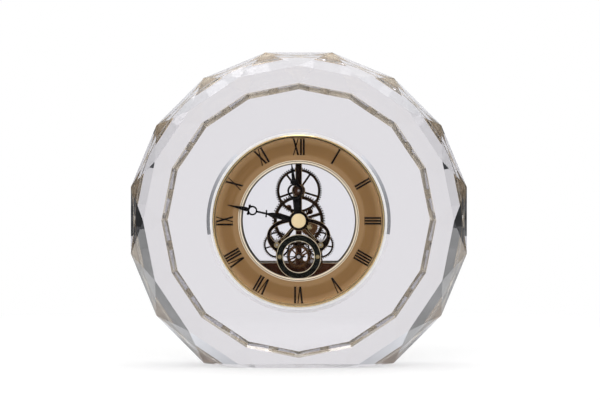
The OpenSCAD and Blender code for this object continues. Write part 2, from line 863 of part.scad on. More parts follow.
module minute_hand_shape() {
    tip = minute_len;
    loop_at = minute_len * 0.652;
    loop_r = 2.4;
    loop_wall = 0.85;
    neck_at = minute_len * 0.455;
    neck_w = 0.96;
    shoulder_at = neck_at - 2.8;
    leaf_at = loop_at + 3.4;
    leaf_w = 2.1;
    stick = [[1.35, 0], [1.2, shoulder_at], [neck_w / 2, neck_at - 0.6],
        [neck_w / 2, loop_at - loop_r + 0.3]];
    leaf = [[1.5, loop_at + 0.8], [2.75, loop_at + 1.5], [2.4, loop_at + 2.4], [0.9, loop_at + 2.2],
        [leaf_w / 2, leaf_at], [0.45, tip - 3.5], [0.2, tip]];
    difference() {
        union() {
            circle(r = 2.9);
            polygon(mirrored(stick));
            polygon(mirrored(leaf));
            translate([0, neck_at]) rotate(8) square([3.6, 0.7], center = true);
            translate([0, loop_at]) circle(r = loop_r);
        }
        translate([0, loop_at - 0.1]) circle(r = loop_r - loop_wall);
        circle(r = arbor_r, $fn = 48);
    }
}

module minute_hand() {
    color("black")
    slab(d_minute, d_minute_end)
    rotate(minute_a)
    minute_hand_shape();
}

module hour_hand_shape() {
    tip = hour_len;
    loop_at = hour_len * 0.525;
    loop_r = 3.75;
    loop_wall = 0.95;
    barb = hour_len * 0.69;
    stick = [[1.8, 0], [1.6, loop_at - loop_r + 0.6]];
    leaf = [[0.9, loop_at + loop_r - 0.3], [0.7, barb - 1], [1.9, barb - 0.9], [1.5, barb + 0.5],
        [0.9, barb + 1.4], [0.55, tip - 3], [0.2, tip]];
    difference() {
        union() {
            circle(r = 4);
            polygon(mirrored(stick));
            polygon(mirrored(leaf));
            translate([0, loop_at]) circle(r = loop_r);
        }
        translate([0, loop_at]) circle(r = loop_r - loop_wall);
        circle(r = hour_tube_r, $fn = 48);
    }
}

module hour_hand() {
    color("black")
    slab(d_hour, d_hour_end)
    rotate(hour_a)
    hour_hand_shape();
}

module hub_cap() {
    crown = 0.5;
    bore_d = d_minute - 0.8;
    color("khaki")
    turned() polygon(concat([[0, d_cap]], [for (i = [0:6]) [cap_r - crown * (1 - sin(15 * i)),
        d_cap + crown * (1 - cos(15 * i))]],
        [[cap_r, d_minute], [arbor_r, d_minute], [arbor_r, bore_d], [0, bore_d]]));
}

// One solid of revolution: the shaft, then the leaves of its pinion fused to it
module centre_arbor() {
    color("silver") {
        turned() band(0, arbor_r, d_minute - 0.8, case_len + knob_h - 2);
        slab(d_motion - 0.2, d_motion_end + 0.2) gear_shape(z_cannon, module_show, phase_centre);
    }
}

module centre_wheel() {
    color("saddlebrown")
    slab(d_centre, d_centre_end)
    wheel_shape(z_centre, module_centre, phase_centre, 1.6, 3.4, 5, 1.5, 18, arbor_r,
        centre_share, blunt_tip);
}

module setting_knob() {
    start = d_rear_lens - 0.5;
    flutes = 18;
    color("black")
    difference() {
        slab(start, case_len + knob_h - 1.5)
        polygon([for (i = [0:flutes - 1]) for (p = [[knob_r - 0.3, 0.15], [knob_r, 0.35],
            [knob_r, 0.65], [knob_r - 0.3, 0.85]]) polar(p[0], (i + p[1]) * 360 / flutes)]);
        turned() band(0, arbor_r, start - 1, case_len + knob_h - 2);
    }
}

// Motion work

module hour_wheel() {
    color("darkgoldenrod")
    difference() {
        union() {
            slab(d_hour_wheel, d_hour_wheel_end) gear_shape(z_hour, module_show, phase_hour);
            turned() band(0, hour_tube_r, d_hour - 0.2, d_hour_wheel + eps);
        }
        turned() band(0, tube_bore_r, d_hour - 1, d_hour_wheel_end + 1);
    }
}

module motion_wheel() {
    color("darkgoldenrod")
    difference() {
        union() {
            slab(d_motion, d_motion_end) at(motion_at) gear_shape(z_motion, module_show, phase_motion);
            slab(d_hour_wheel - 0.2, d_motion + eps) at(motion_at)
            gear_shape(z_motion_pinion, module_show, phase_motion);
        }
        turned(motion_at) band(0, stud_r + run_gap, d_bridge, d_centre);
    }
}

// Display wheels: each is a spoked wheel on an arbor with its own pinion

module show_wheel(p, z, phase, hub, spokes, spoke_w, spoke_a, bore, rim = 0.8) {
    slab(d_show, d_show_end)
    at(p)
    wheel_shape(z, module_show, phase, rim, hub, spokes, spoke_w, spoke_a, bore, show_share, tip_share);
}

module show_arbor(p, z, phase) {
    shoulder = 0.15;
    turned(p) polygon([[0, d_bridge - 0.1], [pivot_r, d_bridge - 0.1], [pivot_r, d_bridge_end + shoulder],
        [arbor_r, d_bridge_end + shoulder], [arbor_r, d_plate - shoulder], [pivot_r, d_plate - shoulder],
        [pivot_r, d_plate_end], [0, d_plate_end]]);
    slab(d_centre - 0.2, d_show - 0.1) at(p) gear_shape(z, module_centre, phase);
}

module top_wheel() {
    rim = 1.2;
    hub = 2.9;
    spoke_w = 1;
    color("saddlebrown")
    slab(d_show, d_show_end)
    at(top_at)
    wheel_shape(z_top, module_top, 0, rim, hub, 5, spoke_w, 55, arbor_r, top_share, blunt_tip);
}

module top_arbor() {
    color("silver") show_arbor(top_at, z_top_pinion, phase_top_pinion);
}

module left_wheel() {
    color("saddlebrown") show_wheel(left_at, z_side, phase_left, 1.9, 5, 0.7, 196, arbor_r);
}

module left_arbor() {
    color("silver") show_arbor(left_at, z_side_pinion, phase_left_pinion);
}

module right_wheel() {
    color("saddlebrown") show_wheel(right_at, z_side, phase_right, 1.9, 5, 0.7, -10, arbor_r);
}

module right_arbor() {
    color("silver") show_arbor(right_at, z_side_pinion, phase_right_pinion);
}

// Ring wheel, which turns behind the front ring and carries the small hand

module ring_wheel() {
    color("saddlebrown") show_wheel(ring_at, z_ring, phase_ring, 1.8, 4, 0.7, 45, sleeve_r, 0.7);
}

module drive_wheel() {
    color("sienna")
    slab(d_drive, d_drive_end)
    at(ring_at)
    wheel_shape(z_drive, module_drive, phase_ring, 0.7, 1.9, 4, 0.7, 20, sleeve_r);
}

module ring_sleeve() {
    color("silver")
    turned(ring_at) band(pivot_r + run_gap, sleeve_r, d_ring + 0.8, d_plate - 0.1);
}

module small_hand() {
    color("black")
    slab(d_ring + 0.8, d_ring + 1.2)
    at(ring_at)
    difference() {
        union() {
            circle(r = 1.4);
            polygon([[-7, -0.12], [0, -0.3], [3.6, -0.25], [3.6, 0.25], [0, 0.3], [-7, 0.12]]);
        }
        circle(r = sleeve_r, $fn = 48);
    }
}

// Step wheel and rotor

module step_wheel() {
    color("sienna")
    slab(d_step, d_step_end)
    at(step_at)
    wheel_shape(z_step, module_step, phase_ring, 0.6, 1.5, 4, 0.6, 10, step_root_r);
}

module step_pinion() {
    color("silver")
    difference() {
        union() {
            slab(d_drive - 0.2, d_step)
            at(step_at) gear_shape(z_step_pinion, module_drive, phase_step_pinion);
            turned(step_at) band(0, step_root_r, d_step - eps, d_plate - 0.1);
        }
        turned(step_at) band(0, stud_r + run_gap, d_drive - 1, d_plate + 1);
    }
}

module rotor_arbor() {
    root_r = module_step * z_rotor / 2 - 1.2 * module_step;
    color("silver") {
        slab(d_step - 0.2, d_step_end + 0.2) at(rotor_at) gear_shape(z_rotor, module_step, phase_rotor);
        turned(rotor_at) polygon([[0, d_step_end], [rotor_pivot_r, d_step_end], [rotor_pivot_r, d_bay],
            [0, d_bay]]);
    }
}

module rotor_magnet() {
    color("gray")
    turned(rotor_at) band(rotor_pivot_r, magnet_r, d_plate_end + 0.5, d_plate_end + 2.5);
}

crystal_body();
gasket();
case_ring();
front_lens();
spacer_ring();
dial_ring();
inner_bezel();
window_tube();
plate_spacer();
back_plate();
front_bridge();
front_ring();
pillars();
pillar_screws();
ring_screws();
front_bushes();
rear_bushes();
motion_stud();
ring_stud();
step_stud();
module_housing();
circuit_board();
quartz_can();
stator();
coil_core();
coil_winding();
battery();
positive_contact();
spring_contact();
rear_cover();
rear_lens();
cover_screws();
battery_cover();
minute_hand();
hub_cap();
centre_arbor();
centre_wheel();
setting_knob();
hour_hand();
hour_wheel();
motion_wheel();
top_wheel();
top_arbor();
left_wheel();
left_arbor();
right_wheel();
right_arbor();
ring_wheel();
drive_wheel();
ring_sleeve();
small_hand();
step_wheel();
step_pinion();
rotor_magnet();
rotor_arbor();
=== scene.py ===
# Looks of the faceted crystal table clock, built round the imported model.
# Metres, X right, Z up, the dial faces -Y.
import math

import bmesh
import bpy
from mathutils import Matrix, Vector


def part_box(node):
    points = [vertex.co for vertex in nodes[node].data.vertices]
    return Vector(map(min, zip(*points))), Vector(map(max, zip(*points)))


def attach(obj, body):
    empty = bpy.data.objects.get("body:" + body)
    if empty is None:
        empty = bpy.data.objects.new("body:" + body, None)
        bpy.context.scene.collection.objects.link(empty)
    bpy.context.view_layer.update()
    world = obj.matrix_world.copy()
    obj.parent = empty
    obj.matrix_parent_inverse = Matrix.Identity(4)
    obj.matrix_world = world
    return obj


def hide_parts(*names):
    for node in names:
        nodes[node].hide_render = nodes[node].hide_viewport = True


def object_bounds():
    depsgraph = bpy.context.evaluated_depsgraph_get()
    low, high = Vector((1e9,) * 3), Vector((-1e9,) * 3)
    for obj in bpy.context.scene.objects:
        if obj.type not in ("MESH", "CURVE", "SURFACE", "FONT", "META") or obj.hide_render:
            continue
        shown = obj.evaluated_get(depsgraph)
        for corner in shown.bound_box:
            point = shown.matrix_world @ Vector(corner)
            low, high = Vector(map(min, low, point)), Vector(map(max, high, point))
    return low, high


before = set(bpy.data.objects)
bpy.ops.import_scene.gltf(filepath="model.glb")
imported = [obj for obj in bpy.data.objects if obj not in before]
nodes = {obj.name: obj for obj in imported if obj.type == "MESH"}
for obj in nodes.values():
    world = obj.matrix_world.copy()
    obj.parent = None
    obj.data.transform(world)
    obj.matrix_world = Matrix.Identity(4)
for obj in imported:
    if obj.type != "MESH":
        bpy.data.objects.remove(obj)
cad_low, cad_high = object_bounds()

MM = 0.001
WELD = 1e-6

# Places taken from the frame
lens_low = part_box("front_lens")[0]
dial_low, dial_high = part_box("dial_ring")
CENTRE = Vector(((dial_low.x + dial_high.x) / 2, 0, (dial_low.z + dial_high.z) / 2))
DIAL_FACE_Y = dial_low.y

# Camera, from the enlargement of the front face against the girdle in the photograph
CAMERA_DISTANCE = 0.956
CAMERA_X = 0.004
AIM_X = 0.0006
CAMERA_Z = 0.0817
SENSOR = 36
VIEW_WIDTH = 0.3
LENS = SENSOR * CAMERA_DISTANCE / VIEW_WIDTH

# Grain in circles round the dial, in lumps per radian and per metre outwards
GRAIN_ROUND = 0.6
GRAIN_OUT = 9000
# Depth of a metal's fine grain
GRAIN_DEPTH = 0.02 * MM
# Behind the lip of the case the gold passes into lacquer, which has painted shade towards the
# bottom
LACQUER_START = lens_low.y + 0.3 * MM
LACQUER_FULL = LACQUER_START + 0.4 * MM
SHADE_DEEPEST_Z, SHADE_GONE_Z = 38 * MM, 62 * MM
# Radii between which painted light makes the dial paler towards its outer edge and its inner edge
OUTER_RIM_LIGHT = 37.5 * MM, 41.2 * MM
INNER_RIM_LIGHT = 31.8 * MM, 33.2 * MM
# Distance between the turned lines of the bezel, which are drawn as painted shade and painted
# highlight
LINE_PITCH = 1.1 * MM
# Bushes are coloured darker from this height up
DARKER_BUSH_Z = CENTRE.z + 8 * MM
# How squarely a face of the front ring looks forward or back: bright below, and dark above
BRIGHT_TO_DARK = 0.85, 0.95


def set_inputs(node, values):
    """Sets a node's sockets by name; a node output is linked, and anything else is a constant."""
    for name, value in values.items():
        socket = node.inputs[name]
        if isinstance(value, bpy.types.NodeSocket):
            node.id_data.links.new(value, socket)
        elif socket.type == "RGBA":
            socket.default_value = (*value, 1)
        else:
            socket.default_value = value


def add(tree, kind, values=None, **settings):
    """A new node of a tree, with its settings and sockets."""
    node = tree.nodes.new("ShaderNode" + kind)
    for name, value in settings.items():
        setattr(node, name, value)
    set_inputs(node, values or {})
    return node


def new_material(name, values):
    """A material with one Principled shader, and its node tree and shader."""
    material = bpy.data.materials.new(name)
    material.use_nodes = True
    tree = material.node_tree
    shader = tree.nodes["Principled BSDF"]
    set_inputs(shader, values)
    return material, tree, shader


def place(tree):
    """Coordinates in the row frame, which stay with the piece as it moves."""
    return add(tree, "TexCoord").outputs["Object"]


def maths(tree, operation, *values):
    """The result of a sum with numbers."""
    return add(tree, "Math", dict(enumerate(values)), operation=operation).outputs[0]


def vectors(tree, operation, *values):
    """The result of a sum with vectors, which is a number for LENGTH."""
    outputs = add(tree, "VectorMath", dict(enumerate(values)), operation=operation).outputs
    return outputs["Value" if operation == "LENGTH" else "Vector"]


def split(tree, coords):
    """The X, Y and Z of a vector."""
    return add(tree, "SeparateXYZ", {0: coords}).outputs


def noise(tree, scale, detail=3.0, coords=None, roughness=0.5):
    """A noise value; scale is in lumps per metre."""
    values = {"Scale": scale, "Detail": detail, "Roughness": roughness,
              "Vector": coords or place(tree)}
    return add(tree, "TexNoise", values).outputs[0]


def stretched_noise(tree, stretch, detail, roughness=0.5):
    """A noise value with its own lumps per metre along X, Y and Z."""
    return noise(tree, 1.0, detail, vectors(tree, "MULTIPLY", place(tree), stretch), roughness)


def blend(tree, low, high, factor):
    """A colour between two, by a value from 0 to 1."""
    ramp = add(tree, "ValToRGB", {"Fac": factor})
    ramp.color_ramp.elements[0].color = (*low, 1)
    ramp.color_ramp.elements[1].color = (*high, 1)
    return ramp.outputs[0]


def mix(tree, factor, first, second):
    """The first colour where the factor is 0, and the second where it is 1."""
    return add(tree, "Mix", {0: factor, 6: first, 7: second}, data_type="RGBA").outputs[2]


def spread(tree, value, low=0.0, high=1.0, start=0.3, end=0.7):
    """A value moved from start and end, between which most noise lies, to low and high."""
    values = {"Value": value, "From Min": start, "From Max": end, "To Min": low, "To Max": high}
    return add(tree, "MapRange", values).outputs["Result"]


def spread_sum(tree, first, second):
    """Two noise values together, moved to the range 0 to 1."""
    return spread(tree, maths(tree, "ADD", first, second), start=0.7, end=1.3)


def dial_radius(tree):
    """Distance from the dial's axis."""
    centred = vectors(tree, "SUBTRACT", place(tree), tuple(CENTRE))
    return vectors(tree, "LENGTH", vectors(tree, "MULTIPLY", centred, (1.0, 0.0, 1.0)))


def dial_grain(tree, along=GRAIN_ROUND, across=GRAIN_OUT):
    """A noise value that runs in circles round the dial's centre."""
    parts = split(tree, vectors(tree, "SUBTRACT", place(tree), tuple(CENTRE)))
    turn = maths(tree, "MULTIPLY", maths(tree, "ARCTAN2", parts["Z"], parts["X"]), along)
    outwards = maths(tree, "MULTIPLY", dial_radius(tree), across)
    coords = add(tree, "CombineXYZ", {"X": turn, "Y": outwards, "Z": parts["Y"]}).outputs[0]
    return noise(tree, 1.0, 2, coords)


def bump(tree, shader, height, strength, distance=GRAIN_DEPTH):
    """Adds surface relief from a value."""
    node = add(tree, "Bump", {"Height": height, "Strength": strength, "Distance": distance})
    set_inputs(shader, {"Normal": node.outputs[0]})


def clear_finish(name, colour, ior, haze_scale, haze, lamp_colour):
    """Clear glass with a trace of polishing haze, which lets the lamps light what is behind it."""
    values = {"Base Color": colour, "IOR": ior, "Transmission Weight": 1.0}
    material, tree, shader = new_material(name, values)
    set_inputs(shader, {"Roughness": spread(tree, noise(tree, haze_scale, 2), 0.0, haze)})
    clear = add(tree, "BsdfTransparent", {"Color": lamp_colour})
    to_lamp = add(tree, "LightPath").outputs["Is Shadow Ray"]
    mixed = add(tree, "MixShader", {0: to_lamp, 1: shader.outputs[0], 2: clear.outputs[0]})
    set_inputs(tree.nodes["Material Output"], {"Surface": mixed.outputs[0]})
    return material


def silicone_finish():
    """Milky translucent silicone with faint mould marks."""
    values = {"Transmission Weight": 0.1, "IOR": 1.41}
    material, tree, shader = new_material("milky_silicone", values)
    cloud = noise(tree, 500)
    set_inputs(shader, {"Base Color": blend(tree, (0.88, 0.88, 0.9), (0.97, 0.97, 0.98), cloud),
                        "Roughness": spread(tree, cloud, 0.32, 0.5)})
    bump(tree, shader, cloud, 0.2, 0.1 * MM)
    return material


def circular_metal(name, low, high, rough, metal, along=GRAIN_ROUND, across=GRAIN_OUT):
    """Metal with a fine grain in circles round the dial, and slow clouds of tone."""
    material, tree, shader = new_material(name, {"Metallic": metal})
    grain = dial_grain(tree, along, across)
    tone = spread_sum(tree, grain, noise(tree, 22, 2))
    set_inputs(shader, {"Base Color": blend(tree, low, high, tone),
                        "Roughness": spread(tree, grain, rough - 0.06, rough + 0.08)})
    bump(tree, shader, grain, 0.15)
    return material


def case_finish():
    """Polished gold lip, and behind it a champagne lacquered barrel, turned, with painted shade
    that darkens it towards the bottom.
    """
    material, tree, shader = new_material("case_gold", {})
    parts = split(tree, place(tree))
    barrel = spread(tree, parts["Y"], start=LACQUER_START, end=LACQUER_FULL)
    gold = blend(tree, (0.72, 0.5, 0.24), (0.88, 0.68, 0.38), spread(tree, dial_grain(tree)))
    marks = stretched_noise(tree, (15, 700, 15), 3)
    turned = spread(tree, marks, start=0.35, end=0.6)
    pale = blend(tree, (0.44, 0.26, 0.11), (1.0, 0.86, 0.58), turned)
    # painted shade: the lacquer is mixed towards a dark brown below, most at the lower height and
    # none from the upper one
    painted_shade_below = spread(tree, parts["Z"], 0.75, 0.0, SHADE_DEEPEST_Z, SHADE_GONE_Z)
    lacquer = mix(tree, painted_shade_below, pale, (0.36, 0.21, 0.1))
    set_inputs(shader, {"Base Color": mix(tree, barrel, gold, lacquer),
                        "Metallic": spread(tree, barrel, 1.0, 0.4, 0.0, 1.0),
                        "Roughness": spread(tree, barrel, 0.16, 0.4, 0.0, 1.0)})
    bump(tree, shader, marks, 0.1, 0.05 * MM)
    return material


def dial_finish():
    """Satin antique gold with a fine circular grain, and painted light that makes the ring paler
    towards both edges.
    """
    material, tree, shader = new_material("satin_dial_gold", {"Metallic": 1.0})
    grain = dial_grain(tree)
    tone = spread_sum(tree, grain, noise(tree, 2500, 2))
    gold = blend(tree, (0.235, 0.129, 0.048), (0.356, 0.202, 0.079), tone)
    # painted light: the colour turns paler towards the outer and inner edges of the ring
    radius = dial_radius(tree)
    outer = spread(tree, radius, 0.0, 1.0, *OUTER_RIM_LIGHT)
    inner = spread(tree, radius, 0.35, 0.0, *INNER_RIM_LIGHT)
    edge = maths(tree, "ADD", outer, inner)
    set_inputs(shader, {"Base Color": mix(tree, edge, gold, (0.58, 0.38, 0.19)),
                        "Roughness": spread(tree, grain, 0.34, 0.46)})
    bump(tree, shader, grain, 0.15)
    return material


def bezel_finish():
    """Pale gold with turned lines drawn in its colour: painted shade in each groove between painted
    highlights on its edges.
    """
    material, tree, shader = new_material("polished_bezel_gold", {"Metallic": 0.35})
    # painted shade and painted highlight: a cosine across the radius darkens the grooves and
    # lightens their edges
    phase = maths(tree, "MULTIPLY", dial_radius(tree), 2 * math.pi / LINE_PITCH)
    grain = dial_grain(tree)
    wave = maths(tree, "ADD", maths(tree, "COSINE", phase), grain)
    lines = spread(tree, wave, start=-0.6, end=0.7)
    set_inputs(shader, {"Base Color": blend(tree, (0.2, 0.13, 0.07), (1.0, 0.9, 0.68), lines),
                        "Roughness": spread(tree, grain, 0.42, 0.55)})
    bump(tree, shader, grain, 0.15)
    return material


def cloudy_metal(name, low, high, rough, scale=180, relief=0.08, metal=1.0):
    """Metal with a slightly uneven tone, as plated or oxidised parts have."""
    material, tree, shader = new_material(name, {"Metallic": metal})
    cloud = spread(tree, noise(tree, scale, 4))
    fine = noise(tree, scale * 12)
    set_inputs(shader, {"Base Color": blend(tree, low, high, cloud),
                        "Roughness": spread(tree, fine, rough - 0.05, rough + 0.1)})
    bump(tree, shader, fine, relief)
    return material


def edged_metal(name, low, high, edge, rough):
    """Dark metal, polished bright on the faces that don't face forward or back."""
    material, tree, shader = new_material(name, {})
    facing = maths(tree, "ABSOLUTE", split(tree, add(tree, "TexCoord").outputs["Normal"])["Y"])
    cloud = noise(tree, 120, 4)
    face = blend(tree, low, high, spread(tree, cloud))
    flat = spread(tree, facing, 0.0, 1.0, *BRIGHT_TO_DARK)
    set_inputs(shader, {"Base Color": mix(tree, flat, edge, face),
                        "Roughness": spread(tree, cloud, rough - 0.05, rough + 0.1),
                        "Metallic": spread(tree, facing, 0.3, 1.0, *BRIGHT_TO_DARK)})
    return material


def bush_finish(low, high):
    """Aged brass bushes; the domed one above the dial's centre is coloured darker."""
    material, tree, shader = new_material("bush_brass", {"Metallic": 1.0, "Roughness": 0.28})
    height = split(tree, place(tree))["Z"]
    upper = spread(tree, height, start=DARKER_BUSH_Z, end=DARKER_BUSH_Z + MM)
    cloud = spread(tree, noise(tree, 700, 4))
    dark = blend(tree, (0.03, 0.014, 0.008), (0.09, 0.045, 0.025), cloud)
    set_inputs(shader, {"Base Color": mix(tree, upper, blend(tree, low, high, cloud), dark)})
    bump(tree, shader, cloud, 0.08)
    return material


def brushed_metal(name, low, high, rough):
    """Metal brushed in straight lines along X."""
    material, tree, shader = new_material(name, {"Metallic": 1.0})
    grain = stretched_noise(tree, (60, 60, 4000), 3)
    set_inputs(shader, {"Base Color": blend(tree, low, high, spread(tree, grain)),
                        "Roughness": spread(tree, grain, rough - 0.06, rough + 0.1)})
    bump(tree, shader, grain, 0.1)
    return material


def moulded(name, low, high, rough, scale=900, shine=0.3):
    """Moulded plastic or lacquer with a fine texture."""
    material, tree, shader = new_material(name, {"Specular IOR Level": shine})
    skin = noise(tree, scale, 4)
    set_inputs(shader, {"Base Color": blend(tree, low, high, spread(tree, skin)),
                        "Roughness": spread(tree, skin, rough - 0.08, rough + 0.1)})
    bump(tree, shader, skin, 0.15, 0.008 * MM)
    return material


# Low and high colours that two finishes share
BLACK_PLATE = (0.006, 0.007, 0.005), (0.016, 0.017, 0.013)
AGED_BRASS = (0.22, 0.17, 0.08), (0.42, 0.33, 0.17)

# Metals and plastics: name, low and high colour, roughness, then what each function takes
FINISH = {
    "crystal": clear_finish("crystal_cut", (0.735, 0.72, 0.752), 1.52, 60, 0.012,
                            (0.85, 0.85, 0.86)),
    "lens": clear_finish("mineral_lens", (0.87, 0.865, 0.89), 1.16, 90, 0.01,
                         (0.92, 0.92, 0.93)),
    "silicone": silicone_finish(),
    "case": case_finish(),
    "dial": dial_finish(),
    "bezel": bezel_finish(),
    "spacer": circular_metal("spacer_gold", (0.95, 0.74, 0.42), (1.0, 0.86, 0.58), 0.35,
                             metal=0.25),
    "cap": circular_metal("hub_cap_gold", (1.0, 0.77, 0.4), (1.0, 0.87, 0.54), 0.4,
                          metal=0.25, along=0.8, across=12000),
    "cover": circular_metal("rear_cover_champagne", (0.66, 0.54, 0.36), (1.0, 0.92, 0.74), 0.38,
                            metal=0.25, along=1.2, across=1800),
    "tube": circular_metal("window_wall_bronze", (0.5, 0.33, 0.16), (0.66, 0.46, 0.26), 0.35,
                           metal=0.6),
    "bronze": cloudy_metal("dark_bronze", (0.004, 0.0025, 0.002), (0.014, 0.007, 0.004), 0.3),
    "plate": cloudy_metal("brown_plate", (0.03, 0.01, 0.005), (0.075, 0.027, 0.013), 0.36),
    "wheel": cloudy_metal("dark_wheel", (0.006, 0.0035, 0.0025), (0.03, 0.015, 0.007), 0.3, 400),
    "warm_wheel": cloudy_metal("brown_wheel", (0.035, 0.015, 0.006), (0.15, 0.075, 0.03), 0.3,
                               500),
    "black": cloudy_metal("black_spacer", *BLACK_PLATE, 0.32, 120),
    "ring": edged_metal("black_ring", *BLACK_PLATE, (1.0, 0.88, 0.62), 0.3),
    "hand": moulded("black_lacquer", (0.002, 0.002, 0.002), (0.005, 0.004, 0.004), 0.42, 1500,
                    0.05),
    "edge": cloudy_metal("polished_edge", (0.55, 0.38, 0.18), (0.9, 0.7, 0.42), 0.3, 600,
                         metal=0.5),
    "dull_edge": cloudy_metal("worn_edge", (0.16, 0.085, 0.035), (0.4, 0.24, 0.11), 0.3, 600),
    "hand_edge": moulded("black_lacquer_edge", (0.004, 0.004, 0.004), (0.012, 0.011, 0.01), 0.3,
                         1500, 0.1),
    "brass": cloudy_metal("turned_brass", (0.5, 0.35, 0.15), (0.75, 0.57, 0.3), 0.25, 700),
    "olive_brass": cloudy_metal("aged_brass", *AGED_BRASS, 0.3, 700),
    "bushes": bush_finish(*AGED_BRASS),
    "steel": cloudy_metal("turned_steel", (0.35, 0.33, 0.31), (0.55, 0.52, 0.5), 0.26, 700),
    "grey_steel": brushed_metal("pressed_steel", (0.42, 0.42, 0.42), (0.6, 0.6, 0.6), 0.34),
    "plastic": moulded("black_plastic", (0.012, 0.012, 0.012), (0.022, 0.022, 0.022), 0.48),
    "board": moulded("circuit_board", (0.01, 0.11, 0.04), (0.02, 0.18, 0.07), 0.35, 1200),
    "copper": cloudy_metal("wound_copper", (0.45, 0.16, 0.06), (0.66, 0.28, 0.12), 0.3, 2500, 0.3),
    "jacket": moulded("battery_jacket", (0.05, 0.05, 0.055), (0.08, 0.08, 0.085), 0.35),
}

# Nodes that show as they are, by their finish
NODE_FINISH = {
    "crystal": ["crystal_body"],
    "silicone": ["gasket"],
    "case": ["case_ring"],
    "spacer": ["spacer_ring"],
    "lens": ["front_lens", "rear_lens"],
    "dial": ["dial_ring"],
    "bezel": ["inner_bezel"],
    "cap": ["hub_cap"],
    "cover": ["rear_cover", "battery_cover", "setting_knob"],
    "tube": ["window_tube"],
    "black": ["plate_spacer"],
    "ring": ["front_ring"],
    "brass": ["pillars", "rear_bushes"],
    "olive_brass": ["ring_screws", "motion_stud"],
    "bushes": ["front_bushes"],
    "warm_wheel": ["hour_wheel", "motion_wheel"],
    "steel": ["ring_stud", "step_stud", "pillar_screws", "cover_screws", "centre_arbor",
              "top_arbor", "left_arbor", "right_arbor", "ring_sleeve", "step_pinion",
              "rotor_arbor", "rotor_magnet"],
    "grey_steel": ["quartz_can", "stator", "coil_core", "positive_contact", "spring_contact"],
    "plastic": ["module_housing"],
    "board": ["circuit_board"],
    "copper": ["coil_winding"],
    "jacket": ["battery"],
}

# Flat nodes that get a chamfer: body, face finish, edge finish, chamfer width in millimetres
CHAMFERED = {
    "front_bridge": ("insert", "bronze", "edge", 0.14),
    "back_plate": ("insert", "plate", "edge", 0.2),
    "centre_wheel": ("minute_line", "wheel", "dull_edge", 0.06),
    "top_wheel": ("top_train", "wheel", "wheel", 0.05),
    "left_wheel": ("left_train", "wheel", "wheel", 0.04),
    "right_wheel": ("right_train", "wheel", "wheel", 0.04),
    "ring_wheel": ("ring_train", "warm_wheel", "dull_edge", 0.05),
    "drive_wheel": ("ring_train", "warm_wheel", "dull_edge", 0.04),
    "step_wheel": ("step_train", "warm_wheel", "dull_edge", 0.04),
    "minute_hand": ("minute_line", "hand", "hand_edge", 0.05),
    "hour_hand": ("hour_line", "hand", "hand_edge", 0.05),
    "small_hand": ("ring_train", "hand", "hand_edge", 0.05),
}
# A chamfer gets no wider at a sharp corner than this many times its width
CORNER_LIMIT = 1.5
# Faces that meet at a larger angle, in degrees, show a sharp edge
SHARP_ANGLE = 25


def mesh_of(bm, name):
    """A mesh from a finished bmesh."""
    mesh = bpy.data.meshes.new(name)
    bm.to_mesh(mesh)
    bm.free()
    return mesh


def new_piece(name, mesh, body):
    """An object made of a mesh, riding on a body."""
    piece = bpy.data.objects.new(name, mesh)
    bpy.context.scene.collection.objects.link(piece)
    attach(piece, body)
    return piece


def chamfer_side(bm, side, y, width):
    """Cuts a chamfer round the flat faces that lie at y, on the front (-1) or the back (1)."""
    flat = [f for f in bm.faces if all(abs(v.co.y - y) < WELD for v in f.verts)]
    cut = set(bmesh.ops.inset_region(bm, faces=flat, thickness=width, use_boundary=True,
                                     use_even_offset=True)["faces"])
    kept = cut | set(flat)
    corners = {v for f in cut for v in f.verts}
    rim = {v for v in corners if any(f not in kept for f in v.link_faces)}
    widest = CORNER_LIMIT * width
    for vertex in corners - rim:
        outer = [e.other_vert(vertex) for e in vertex.link_edges if e.other_vert(vertex) in rim]
        if outer:
            shift = vertex.co - outer[0].co
            if shift.length > widest:
                vertex.co = outer[0].co + shift.normalized() * widest
    for face in cut:
        face.material_index = 1
    for vertex in rim:
        vertex.co.y -= side * width


def chamfered(node, body, face, edge, width_mm):
    """A plate's copy with a chamfer front and back, which stands for the node."""
    low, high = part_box(node)
    bm = bmesh.new()
    bm.from_mesh(nodes[node].data)
    bmesh.ops.remove_doubles(bm, verts=bm.verts, dist=WELD)
    for item in bm.faces:
        item.smooth = True
        item.material_index = 0
    chamfer_side(bm, -1, low.y, width_mm * MM)
    chamfer_side(bm, 1, high.y, width_mm * MM)
    mesh = mesh_of(bm, node + "_finished")
    mesh.set_sharp_from_angle(angle=math.radians(SHARP_ANGLE))
    mesh.materials.append(FINISH[face])
    mesh.materials.append(FINISH[edge])
    piece = new_piece(node + "_finished", mesh, body)
    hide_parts(node)


# Roman numerals, drawn in millimetres across and up
NUMERALS = ["XII", "I", "II", "III", "IIII", "V", "VI", "VII", "VIII", "IX", "X", "XI"]
NUMERAL_LOW = 32.2
NUMERAL_HIGH = 40.4
THICK = 0.92
THIN = 0.52
BAR_GAP = 0.46
SERIF = 0.2
SERIF_T = 0.22
# How far each foot of the V lies from its middle
V_FOOT = 0.1
# Height of the print; strokes that cross differ, so that no two faces lie in one plane
INK = {"thick": 0.07, "thin": 0.05, "serif": 0.06}
LETTER_WIDTH = {"I": THICK, "V": 3.0, "X": 3.2}


def stroke(foot, head, width, top):
    """A slanting stroke between the feet and heads of a letter, cut level at both."""
    half = width / 2
    outline = [(foot - half, 0), (foot + half, 0), (head + half, top), (head - half, top)]
    return "thick" if width == THICK else "thin", outline


def serif(x, width, y):
    """A short tick across the end of a stroke."""
    half = width / 2 + SERIF
    return "serif", [(x - half, y), (x + half, y), (x + half, y + SERIF_T), (x - half, y + SERIF_T)]


